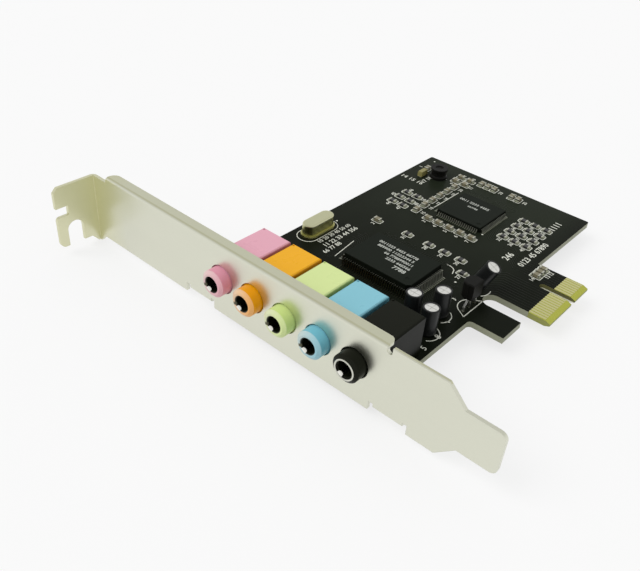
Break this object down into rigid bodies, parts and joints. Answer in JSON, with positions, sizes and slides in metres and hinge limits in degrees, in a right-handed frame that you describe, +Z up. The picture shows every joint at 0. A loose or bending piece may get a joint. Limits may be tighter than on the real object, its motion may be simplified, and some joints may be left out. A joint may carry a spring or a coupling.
{
  "type": "pci express sound card",
  "caption": "Flat circuit-board card with a folded steel bracket, a row of coloured round audio jacks, chips, small capacitors and a notched gold edge connector.",
  "frame": {"origin": "middle of the card's box in X and Y, at the level of its lowest point", "axes": "+X along the bracket from its bent tab to its tail, +Y from the bracket's outer face into the card, +Z up from the board's component side"},
  "size_m": [0.12, 0.1112, 0.0204],
  "materials": {
    "black_plastic": "satin",
    "bright_ring": "bright",
    "tinned_terminal": "bright",
    "blue_plastic": "satin",
    "bracket_steel": "satin",
    "tinned_lead": "satin",
    "rubber_bung": "matt",
    "capacitor_can": "satin",
    "capacitor_sleeve": "gloss",
    "ceramic_tan": "satin",
    "tin_end": "satin",
    "resistor_black": "satin",
    "choke_black": "matt",
    "crystal_metal": "satin",
    "screw_steel": "bright",
    "gold_contact": "polished",
    "green_plastic": "satin",
    "chip_mould": "matt",
    "chip_lead": "satin",
    "orange_plastic": "satin",
    "board": "gloss",
    "pink_plastic": "satin",
    "regulator_mould": "matt",
    "solder": "bright",
    "tantalum_mould": "satin"
  },
  "bodies": {
    "root": {"black_jack": "black_plastic", "black_jack_mouth_ring": "bright_ring", "black_jack_terminals": "tinned_terminal", "blue_jack": "blue_plastic", "blue_jack_terminals": "tinned_terminal", "bracket": "bracket_steel", "capacitor_leads": "tinned_lead", "capacitor_one_bung": "rubber_bung", "capacitor_one_can": "capacitor_can", "capacitor_one_sleeve": "capacitor_sleeve", "capacitor_three_bung": "rubber_bung", "capacitor_three_can": "capacitor_can", "capacitor_three_sleeve": "capacitor_sleeve", "capacitor_two_bung": "rubber_bung", "capacitor_two_can": "capacitor_can", "capacitor_two_sleeve": "capacitor_sleeve", "chip_capacitor_bodies": "ceramic_tan", "chip_capacitor_ends": "tin_end", "chip_resistor_bodies": "resistor_black", "chip_resistor_ends": "tin_end", "choke_body": "choke_black", "choke_leads": "tinned_lead", "crystal_can": "crystal_metal", "crystal_header": "crystal_metal", "crystal_leads": "tinned_lead", "ear_screws": "screw_steel", "edge_contacts_lower": "gold_contact", "edge_contacts_upper": "gold_contact", "green_jack": "green_plastic", "green_jack_terminals": "tinned_terminal", "large_chip_body": "chip_mould", "large_chip_leads": "chip_lead", "leaning_capacitor_bung": "rubber_bung", "leaning_capacitor_can": "capacitor_can", "leaning_capacitor_sleeve": "capacitor_sleeve", "orange_jack": "orange_plastic", "orange_jack_terminals": "tinned_terminal", "pcb": "board", "pink_jack": "pink_plastic", "pink_jack_terminals": "tinned_terminal", "regulator_body": "regulator_mould", "regulator_leads": "tinned_lead", "small_chip_body": "chip_mould", "small_chip_leads": "chip_lead", "solder_joints": "solder", "tantalum_body": "tantalum_mould", "tantalum_tabs": "tin_end"}
  },
  "joints": []
}
